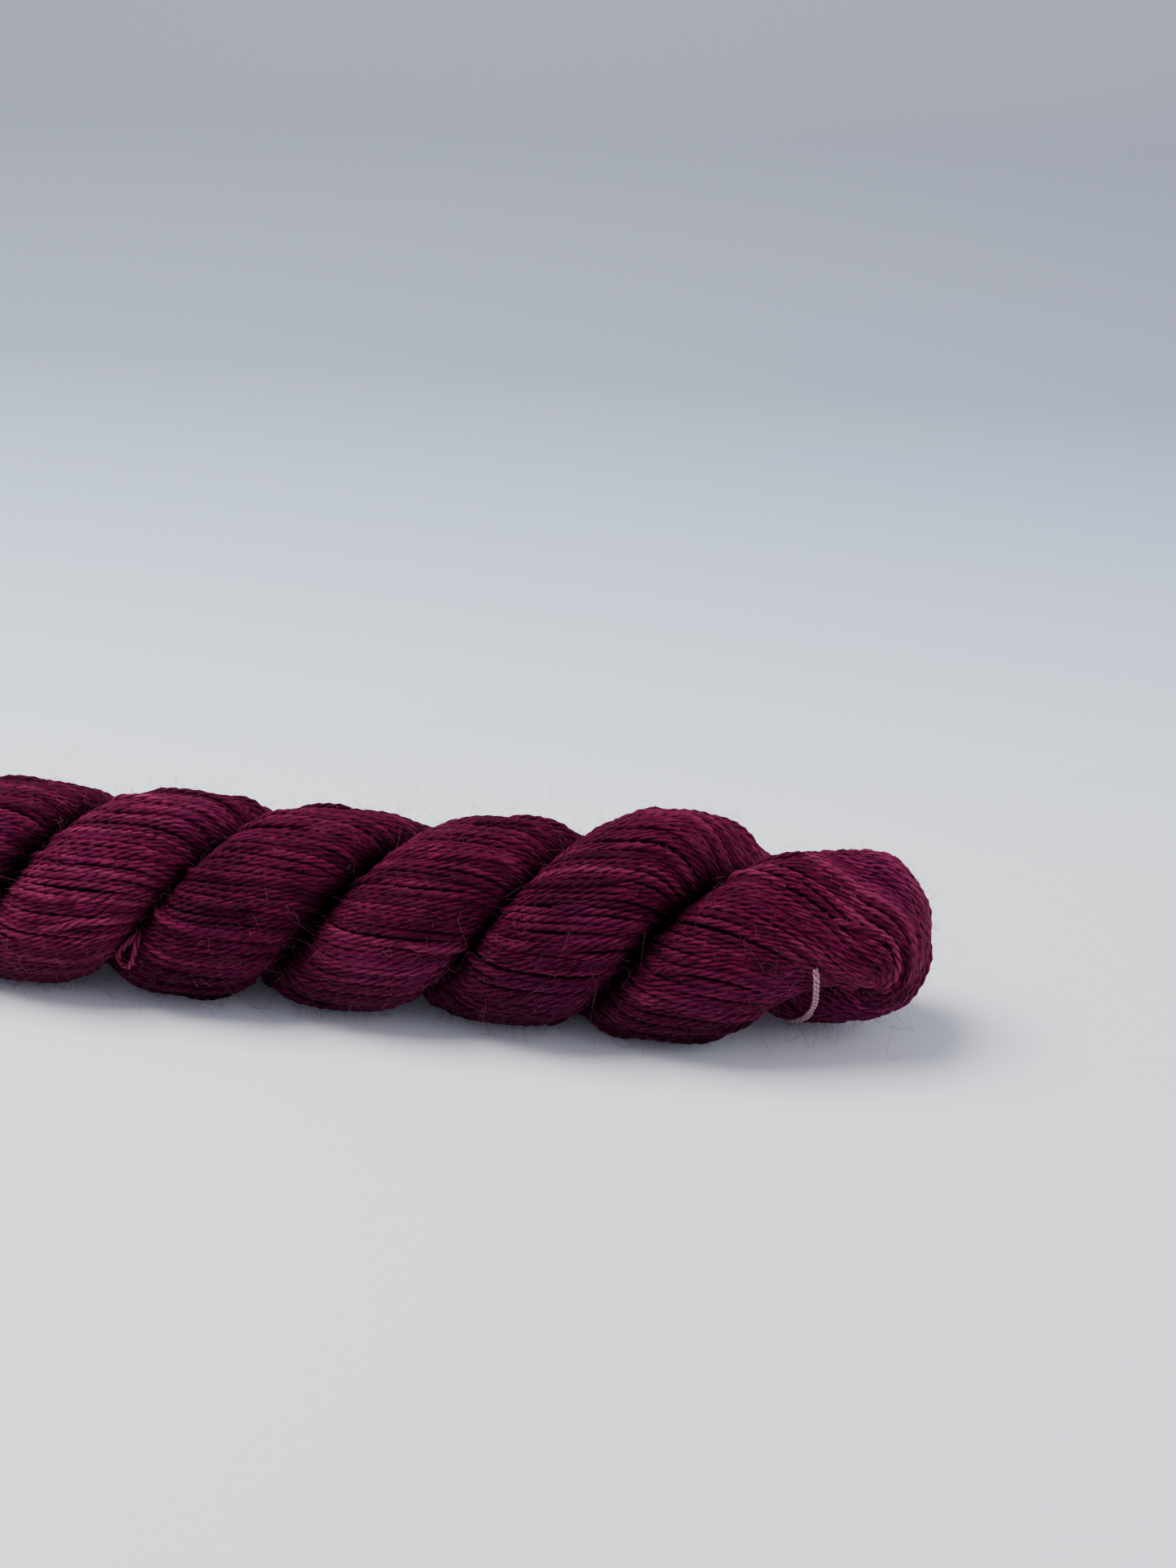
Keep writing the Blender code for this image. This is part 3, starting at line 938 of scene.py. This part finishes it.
def grow(name, mesh, tree, sizes):
    """The mesh that a geometry tree makes of this one, as a plain object with no modifier."""
    carrier = new_object(name + "_lines", mesh)
    modifier = carrier.modifiers.new(name, "NODES")
    modifier.node_group = tree
    for item in tree.interface.items_tree:
        if item.in_out == "INPUT" and item.name in sizes:
            modifier[item.identifier] = sizes[item.name]
    depsgraph = bpy.context.evaluated_depsgraph_get()
    made = bpy.data.meshes.new_from_object(carrier.evaluated_get(depsgraph),
                                           preserve_all_data_layers=True, depsgraph=depsgraph)
    bpy.data.objects.remove(carrier)
    made.name = name
    return new_object(name, made)


def by_input(record):
    """A record's fields under the names of a tree's inputs."""
    return {field.title(): value for field, value in record._asdict().items()}


def plied_yarn_tree():
    """Spins plied yarn along lines: each ply is a lobe of the section, and the section turns."""
    nodes, given, made = node_tree("plied_yarn", "Radius Pitch Groove", "Plies Corners")
    index = nodes.add("GeometryNodeInputIndex").outputs[0]
    corner = nodes.maths("DIVIDE", nodes.maths("MULTIPLY", index, given["Plies"]), given["Corners"])
    ridge = nodes.maths("COSINE", nodes.maths("MULTIPLY", corner, 2.0 * math.pi))
    size = nodes.maths("MULTIPLY_ADD", nodes.maths("SUBTRACT", ridge, 0.5), given["Groove"], 1.0)
    size = nodes.maths("MULTIPLY", size, given["Radius"])
    outline = nodes.vectors("SCALE", nodes.position(), Scale=size)
    section = nodes.move(nodes.circle(given["Corners"], 1.0), Position=outline)
    section = nodes.store(section, "section", nodes.position(), "FLOAT_VECTOR")

    lines = nodes.add("GeometryNodeMeshToCurve", {"Mesh": given["Geometry"]}).outputs[0]
    run = nodes.add("GeometryNodeSplineParameter").outputs["Length"]
    lines = nodes.store(lines, "run", run)
    turned = nodes.maths("DIVIDE", nodes.maths("MULTIPLY", run, 2.0 * math.pi), given["Pitch"])
    tilt = nodes.maths("SUBTRACT", nodes.stored("phase"), turned)
    lines = nodes.add("GeometryNodeSetCurveTilt", {"Curve": lines, "Tilt": tilt}).outputs[0]
    thick = {"Curve": lines, "Radius": nodes.stored("thick")}
    lines = nodes.add("GeometryNodeSetCurveRadius", thick).outputs[0]
    return nodes.end(nodes.tube(lines, section), given["Finish"], made)


def halo_tree():
    """Grows curling fibres off a surface, thicker where its fluff value is high."""
    numbers = "Density Shortest Longest Radius Lean Bend Waves Floor"
    nodes, given, made = node_tree("halo", numbers, "Points Seed")
    roots = nodes.add("GeometryNodeDistributePointsOnFaces", {
        "Mesh": given["Geometry"],
        "Density": nodes.maths("MULTIPLY", given["Density"], nodes.stored("fluff")),
        "Seed": given["Seed"],
    }, distribute_method="RANDOM")
    points = roots.outputs["Points"]
    for number, name in enumerate(("bend", "sway"), start=2):
        seed = nodes.maths("ADD", given["Seed"], number)
        points = nodes.store(points, name, nodes.any_way(seed), "FLOAT_VECTOR")

    ends = {"Start": (0, 0, 0), "End": (0, 0, 1)}
    fibre = nodes.add("GeometryNodeCurvePrimitiveLine", ends, mode="POINTS").outputs[0]
    cuts = {"Curve": fibre, "Count": given["Points"]}
    fibre = nodes.add("GeometryNodeResampleCurve", cuts, mode="COUNT").outputs[0]
    leaning = nodes.vectors("SCALE", nodes.any_way(given["Seed"]), Scale=given["Lean"])
    heading = nodes.vectors("ADD", roots.outputs["Normal"], leaning)
    rotation = nodes.add("FunctionNodeAlignRotationToVector", {"Vector": heading}, axis="Z")
    chance = {2: 0.0, 3: 1.0, 8: nodes.maths("ADD", given["Seed"], 1)}
    chance = nodes.add("FunctionNodeRandomValue", chance, data_type="FLOAT").outputs[1]
    spread = nodes.maths("SUBTRACT", given["Longest"], given["Shortest"])
    skewed = nodes.maths("POWER", chance, FIBRE_SKEW)
    fibres = nodes.add("GeometryNodeInstanceOnPoints", {
        "Points": points,
        "Instance": fibre,
        "Rotation": rotation.outputs[0],
        "Scale": nodes.maths("MULTIPLY_ADD", skewed, spread, given["Shortest"]),
    })
    fibres = nodes.add("GeometryNodeRealizeInstances", {"Geometry": fibres.outputs[0]}).outputs[0]

    factor = nodes.add("GeometryNodeSplineParameter").outputs["Factor"]
    total = nodes.add("GeometryNodeSplineLength").outputs["Length"]
    reach = nodes.maths("MULTIPLY", total, given["Bend"])
    arc = nodes.maths("MULTIPLY", reach, nodes.maths("POWER", factor, 2.0))
    angle = nodes.maths("MULTIPLY", nodes.maths("MULTIPLY", factor, given["Waves"]), 2.0 * math.pi)
    wave = nodes.maths("MULTIPLY", nodes.maths("SINE", angle), factor)
    wave = nodes.maths("MULTIPLY", nodes.maths("MULTIPLY", reach, FIBRE_SWAY), wave)
    sway = nodes.stored("sway", "FLOAT_VECTOR")
    bent = nodes.vectors("SCALE", nodes.stored("bend", "FLOAT_VECTOR"), Scale=arc)
    swayed = nodes.vectors("SCALE", sway, Scale=wave)
    fibres = nodes.move(fibres, Offset=nodes.vectors("ADD", bent, swayed))

    place = nodes.parts(nodes.position())
    height = nodes.maths("MAXIMUM", place[2], given["Floor"])
    sunk = nodes.maths("SUBTRACT", height, place[2])
    late = nodes.maths("ADD", sunk, FLOOR_TURN)
    turned = nodes.maths("DIVIDE", nodes.maths("MULTIPLY", sunk, sunk), late)
    slant = nodes.maths("MULTIPLY", turned, nodes.parts(sway)[0])
    side = nodes.maths("MULTIPLY", nodes.maths("SIGN", place[1]), turned)
    fibres = nodes.move(fibres, Position=nodes.whole(
        nodes.maths("MULTIPLY_ADD", slant, FLOOR_SLANT, place[0]),
        nodes.maths("MULTIPLY_ADD", side, -FLOOR_RETURN, place[1]),
        height,
    ))
    return nodes.end(nodes.tube(fibres, nodes.circle(3, given["Radius"])), given["Finish"], made)


# Finishes

def opaque(colour):
    return (*colour, 1.0)


def new_finish(name):
    """An empty material, its nodes and its main shader."""
    material = bpy.data.materials.new(name)
    material.use_nodes = True
    nodes = FinishNodes(material.node_tree)
    return material, nodes, material.node_tree.nodes["Principled BSDF"]


def mohair_finish():
    """Hand-dyed mohair yarn: its colour shifts along the strands, and fine fibres run round it.
    Painted shade and painted light darken and lighten it in places.
    """
    material, nodes, shader = new_finish("hand_dyed_mohair")
    place = nodes.place()
    patches = nodes.noise(place, 42.0, 3.0)
    spots = nodes.noise(place, 230.0, 2.0)
    depth = nodes.maths("MULTIPLY_ADD", patches, 0.9, -0.37)
    depth = nodes.maths("MULTIPLY_ADD", nodes.attribute("tone"), 0.60, depth)
    depth = nodes.maths("ADD", depth, nodes.maths("MULTIPLY", nodes.attribute("lift"), 0.6))
    depth = nodes.maths("MULTIPLY_ADD", nodes.maths("SUBTRACT", spots, 0.5), 0.8, depth)
    dyed = nodes.ramp(depth, DYE_DARK, DYE_LIGHT, [(0.5, DYE_MIDDLE)])
    lean = nodes.maths("SUBTRACT", nodes.attribute("magenta"), 0.72)
    lean = nodes.held(nodes.maths("MULTIPLY_ADD", nodes.noise(place, 28.0, 2.0), 1.4, lean))
    dyed = nodes.mix(nodes.maths("MULTIPLY", lean, 0.8), dyed, opaque(DYE_MAGENTA))

    # Painted highlight along the tops of the plies and painted shade in the grooves between them,
    # less so at random places, and lighter between fibres
    section = nodes.parts(nodes.attribute("section", "Vector"))
    ply = nodes.ply_ridges(section, STRAND_PLIES)
    fibres = nodes.spun_fibres(section, 0.16, 2700.0, 4.0, Roughness=0.65)
    streaks = nodes.remap(fibres, 0.28, 0.72, 0.62, 1.38)
    groove = nodes.remap(ply, -1.0, 0.6, 0.20, 1.30, interpolation_type="SMOOTHSTEP")
    softened_ply_shade = nodes.remap(nodes.noise(place, 170.0, 2.0), 0.40, 0.66, 0.0, 0.75)
    level = nodes.maths("MULTIPLY", nodes.maths("SUBTRACT", 0.88, groove), softened_ply_shade)
    shade = nodes.maths("MULTIPLY", streaks, nodes.maths("ADD", groove, level))
    # Painted shade in the grooves between the plies and low down, carried by the strands
    shade = nodes.maths("MULTIPLY", shade, nodes.attribute("shade"))
    height = nodes.maths("MULTIPLY_ADD", ply, 0.5, fibres)
    nodes.feed_all(shader, {
        "Base Color": nodes.vectors("SCALE", dyed, Scale=shade),
        "Normal": nodes.bump(0.6, 0.22 * MM, height),
        "Roughness": nodes.remap(fibres, 0.2, 0.8, 0.50, 0.72),
        "Specular IOR Level": 0.03,
        "Sheen Weight": 0.02,
        "Sheen Roughness": 0.4,
        "Sheen Tint": opaque(YARN_SHEEN),
    })
    return material


def core_finish():
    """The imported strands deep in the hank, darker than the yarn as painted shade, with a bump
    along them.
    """
    material, nodes, shader = new_finish("mohair_core")
    patches = nodes.noise(nodes.place(), 300.0, 4.0)
    nodes.feed_all(shader, {
        "Base Color": nodes.mix(patches, opaque(CORE_DARK), opaque(CORE_LIGHT)),
        "Normal": nodes.bump(0.8, 0.6 * MM, patches),
        "Roughness": 0.85,
        "Specular IOR Level": 0.02,
    })
    return material


def fibre_finish():
    """Loose mohair fibres, a little lighter than the yarn and with a soft shine."""
    material, nodes, shader = new_finish("mohair_fibre")
    share = nodes.remap(nodes.noise(nodes.place(), 150.0, 1.0), 0.35, 0.65)
    nodes.feed_all(shader, {
        "Base Color": nodes.mix(share, opaque(FIBRE_DARK), opaque(FIBRE_LIGHT)),
        "Roughness": 0.5,
        "Specular IOR Level": 0.3,
    })
    return material


def thread_finish():
    """Dusty pink cotton thread, with painted highlight along the tops of its plies and painted
    shade between them.
    """
    material, nodes, shader = new_finish("dusty_pink_thread")
    section = nodes.parts(nodes.attribute("section", "Vector"))
    fibres = nodes.spun_fibres(section, 0.2, 9000.0, 3.0)
    share = nodes.maths("MULTIPLY_ADD", fibres, 1.7, -0.46)
    # Painted highlight on the plies' tops, painted shade between them
    share = nodes.maths("MULTIPLY_ADD", nodes.ply_ridges(section, THREAD.plies), 0.26, share)
    share = nodes.held(share)
    nodes.feed_all(shader, {
        "Base Color": nodes.mix(share, opaque(THREAD_DARK), opaque(THREAD_LIGHT)),
        "Normal": nodes.bump(0.6, 0.12 * MM, share),
        "Roughness": 0.8,
        "Specular IOR Level": 0.15,
        "Sheen Weight": 0.1,
    })
    return material


def paper_finish():
    """The pale sweep of paper behind and under the hank, deeper in colour up its back as painted
    shade.
    """
    material, nodes, shader = new_finish("pale_paper")
    share = nodes.remap(nodes.parts(nodes.place())[1], *PAPER_STRETCH)
    nodes.feed_all(shader, {
        "Base Color": nodes.ramp(share, PAPER_NEAR, PAPER_FAR, PAPER_SHADES),
        "Roughness": 0.9,
        "Specular IOR Level": 0.1,
    })
    return material


# The object's pieces

def add_strand_pieces(form, yarn_tree, finish):
    """The layers of strands, as pieces that follow one another along the hank."""
    made = []
    for layer, pieces in ((OUTER, OUTER_PIECES), (UNDER, 1), (STRAY, 1)):
        yarn = Yarn(STRAND_RADIUS, STRAND_PITCH, STRAND_PLIES, layer.corners, layer.groove)
        strands = wind(form, layer)
        for number, group in enumerate(share_out(strands, pieces), start=1):
            name = layer.name if pieces == 1 else f"{layer.name}_{number}"
            values = {key: [strand.values[key] for strand in group] for key in group[0].values}
            mesh = line_mesh(name, [strand.points for strand in group], values)
            made.append(grow(name, mesh, yarn_tree, {**by_input(yarn), "Finish": finish}))
    return made


def add_core(shift, finish):
    """The solid middle of the hank, under its strands."""
    *sections, points_round = CORE_STEPS
    points, _ = hank_sections(*loop_stations(*sections), points_round, inset=CORE_INSET)
    core = new_object("hank_core", ring_mesh("hank_core", points + shift))
    core.data.materials.append(finish)
    return core


def fluff_of(points):
    """How thickly fibres stand at each point of the form."""
    low = ease(LOW_FLUFF_START, LOW_FLUFF_FULL, points[..., 2])
    at_end = ease(END_FLUFF_START, END_FLUFF_FULL, points[..., 0])
    return FLUFF + LOW_FLUFF * low + END_FLUFF * low * at_end


def add_halo(form, halo, tree, finish):
    """One kind of loose fibre, rooted a little under the strands' outer side."""
    points = form.points[::ROOT_STEP, ::ROOT_STEP]
    normals = form.normals[::ROOT_STEP, ::ROOT_STEP]
    mesh = ring_mesh("halo_ground", points - normals * ROOT_DEPTH)
    fluff = mesh.attributes.new("fluff", "FLOAT", "POINT")
    fluff.data.foreach_set("value", fluff_of(points).astype(np.float32).ravel())
    area = sum(face.area for face in mesh.polygons)
    return grow(halo.name, mesh, tree, {
        **by_input(halo),
        "Density": halo.fibres / area,
        "Floor": 2.0 * halo.radius,
        "Finish": finish,
    })


def beside_axis(stop):
    """A stop of the tie's route as a point of the hank's own layout."""
    angle = math.radians(stop.around)
    y = float(axis_y(stop.along)) - stop.out * math.cos(angle)
    z = float(axis_z(stop.along)) + stop.out * math.sin(angle)
    return Vector((stop.along, y, z))


def smooth_route(stops, step):
    """Points about a step apart on one smooth curve through the stops."""
    stops = [stops[0] * 2.0 - stops[1]] + stops + [stops[-1] * 2.0 - stops[-2]]
    route = []
    for before, start, end, after in zip(stops, stops[1:], stops[2:], stops[3:]):
        count = max(2, round((end - start).length / step))
        pull = (end - before) * 0.5
        onward = (after - start) * 0.5
        for i in range(count):
            t = i / count
            route.append(start * (2 * t ** 3 - 3 * t ** 2 + 1) + pull * (t ** 3 - 2 * t ** 2 + t)
                         + end * (3 * t ** 2 - 2 * t ** 3) + onward * (t ** 3 - t ** 2))
    route.append(stops[-2])
    return route


def hank_tree(node):
    """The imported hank's surface, to measure distances from."""
    mesh = node.data
    return BVHTree.FromPolygons([v.co for v in mesh.vertices], [p.vertices for p in mesh.polygons])


def route_over(tree, stops, shift, step, gap):
    """Points on a smooth curve through the stops, each at least a gap off the hank's surface, and
    the surface's direction at each."""
    route = []
    for point in smooth_route([beside_axis(stop) for stop in stops], step):
        point = point + Vector(shift)
        near, normal, _, _ = tree.find_nearest(point)
        height = (point - near).dot(normal)
        route.append(point + normal * max(gap - height, 0.0))
    return np.array(route), np.array([tree.find_nearest(point)[1] for point in route])


def at_ends(share, run):
    """1 at both ends of a run, easing to 0 over a share of it."""
    return ease(share, 0.0, run) + ease(1.0 - share, 1.0, run)


def add_slack_loop(tree, shift, yarn_tree, finish):
    """The slack loop, with both ends tucked in between the strands."""
    clear = SLACK_CLEARANCE * SLACK.radius
    centres, normals = route_over(tree, SLACK_STOPS, shift, SLACK_STEP, clear)
    tuck = at_ends(SLACK_END, np.linspace(0.0, 1.0, len(centres)))
    even = np.ones(len(centres))
    mesh = line_mesh("slack_loop", [centres - normals * (SLACK_TUCK * tuck)[:, None]], {
        "lift": [SLACK_LIFT * even],
        "magenta": [0.0 * even],
        # Painted shade where the ends are tucked in
        "shade": [1.0 - (1.0 - SLACK_END_SHADE) * tuck],
        "tone": [SLACK_TONE * even],
        "thick": [even],
        "phase": [0.0 * even],
    })
    return grow("slack_loop", mesh, yarn_tree, {**by_input(SLACK), "Finish": finish})


def add_tie(tree, shift, yarn_tree, finish):
    """The tie's two threads, side by side, with both ends tucked in between the strands."""
    clear = TIE_CLEARANCE + THREAD.radius
    centres, normals = route_over(tree, TIE_STOPS, shift, THREAD_STEP, clear)
    along = unit(np.gradient(centres, axis=0))
    across = unit(np.cross(along, normals))
    tuck = at_ends(TIE_END, np.linspace(0.0, 1.0, len(centres)))
    centres = centres - normals * (TIE_TUCK * tuck)[:, None]
    lines = [centres + across * THREAD_SPACING / 2.0, centres - across * THREAD_SPACING / 2.0]
    even = np.ones(len(centres))
    mesh = line_mesh("skein_tie_threads", lines, {
        "phase": [0.0 * even, SECOND_THREAD_SPIN * even],
        "thick": [even, even],
    })
    return grow("skein_tie_threads", mesh, yarn_tree, {**by_input(THREAD), "Finish": finish})


# The stage, the lights and the camera

def add_paper_sweep():
    """Pale paper that lies flat under the hank and curves up far behind it."""
    profile = [(SWEEP_START, 0.0), (SWEEP_BACK, 0.0)]
    for i in range(1, SWEEP_STEPS + 1):
        angle = math.pi / 2.0 * i / SWEEP_STEPS
        rise = SWEEP_RADIUS * (1.0 - math.cos(angle))
        profile.append((SWEEP_BACK + SWEEP_RADIUS * math.sin(angle), rise))
    profile.append((SWEEP_BACK + SWEEP_RADIUS, SWEEP_TOP))
    sides = (-SWEEP_HALF_WIDTH, SWEEP_HALF_WIDTH)
    vertices = [(side, y, z) for y, z in profile for side in sides]
    faces = [(2 * i, 2 * i + 1, 2 * i + 3, 2 * i + 2) for i in range(len(profile) - 1)]
    mesh = bpy.data.meshes.new("paper_sweep")
    mesh.from_pydata(vertices, [], faces)
    mesh.shade_smooth()
    sweep = new_object("paper_sweep", mesh)
    mesh.materials.append(paper_finish())


def add_lights():
    world = bpy.data.worlds.new("soft_room")
    bpy.context.scene.world = world
    world.use_nodes = True
    room = world.node_tree.nodes["Background"].inputs
    room["Color"].default_value = opaque(ROOM_COLOUR)
    room["Strength"].default_value = ROOM_STRENGTH
    for box in SOFTBOXES:
        light = bpy.data.lights.new(box.name, "AREA")
        light.shape = "RECTANGLE"
        light.size = light.size_y = box.size
        light.energy = box.power
        light.color = box.tint
        lamp = new_object(box.name, light)
        lamp.location = box.place
        lamp.rotation_euler = (Vector(box.at) - lamp.location).to_track_quat("-Z", "Y").to_euler()


def add_camera(shift):
    """The camera at the photograph's viewing angle, so that SEEN_POINT falls on SEEN_AT."""
    turn, lift = CAMERA_TURN, CAMERA_ELEVATION
    flat = math.cos(lift)
    back = Vector((math.sin(turn) * flat, -math.cos(turn) * flat, math.sin(lift)))
    right = Vector((math.cos(turn), math.sin(turn), 0.0))
    up = back.cross(right)
    aside = (SEEN_AT[0] - PHOTO_WIDTH / 2.0) / PIXELS_PER_METRE
    above = (PHOTO_HEIGHT / 2.0 - SEEN_AT[1]) / PIXELS_PER_METRE
    data = bpy.data.cameras.new("photo_camera")
    data.sensor_width = SENSOR
    data.lens = SENSOR * PIXELS_PER_METRE * CAMERA_DISTANCE / PHOTO_HEIGHT
    data.clip_start = 0.02
    camera = new_object("photo_camera", data)
    middle = SEEN_POINT + Vector(shift) - right * aside - up * above
    camera.location = middle + back * CAMERA_DISTANCE
    camera.rotation_euler = (-back).to_track_quat("-Z", "Y").to_euler()
    bpy.context.scene.camera = camera


def layout_shift():
    """From the hank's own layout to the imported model's frame: its origin is the box's bottom
    centre."""
    *sections, points_round = SOLID_STEPS
    points, _ = hank_sections(*loop_stations(*sections), points_round, inset=0.0)
    low, high = points.min(axis=(0, 1)), points.max(axis=(0, 1))
    return np.array([-(low[0] + high[0]) / 2.0, -(low[1] + high[1]) / 2.0, 0.0])


def main():
    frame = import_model()
    shift = layout_shift()
    add_camera(shift)
    add_lights()
    add_paper_sweep()

    form = lay_out_form(shift)
    yarn_tree = plied_yarn_tree()
    mohair = mohair_finish()
    core = add_core(shift, core_finish())
    strands = add_strand_pieces(form, yarn_tree, mohair)
    fibre_tree, fibre = halo_tree(), fibre_finish()
    halos = [add_halo(form, halo, fibre_tree, fibre) for halo in (CLINGING, STANDING)]
    surface = hank_tree(frame["nodes"]["hank"])
    loop = add_slack_loop(surface, shift, yarn_tree, mohair)
    tie = add_tie(surface, shift, yarn_tree, thread_finish())

    for piece in (core, *strands, loop, *halos):
        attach(piece, "root")
    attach(tie, "root")
    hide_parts("hank")
    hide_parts("skein_tie")


main()
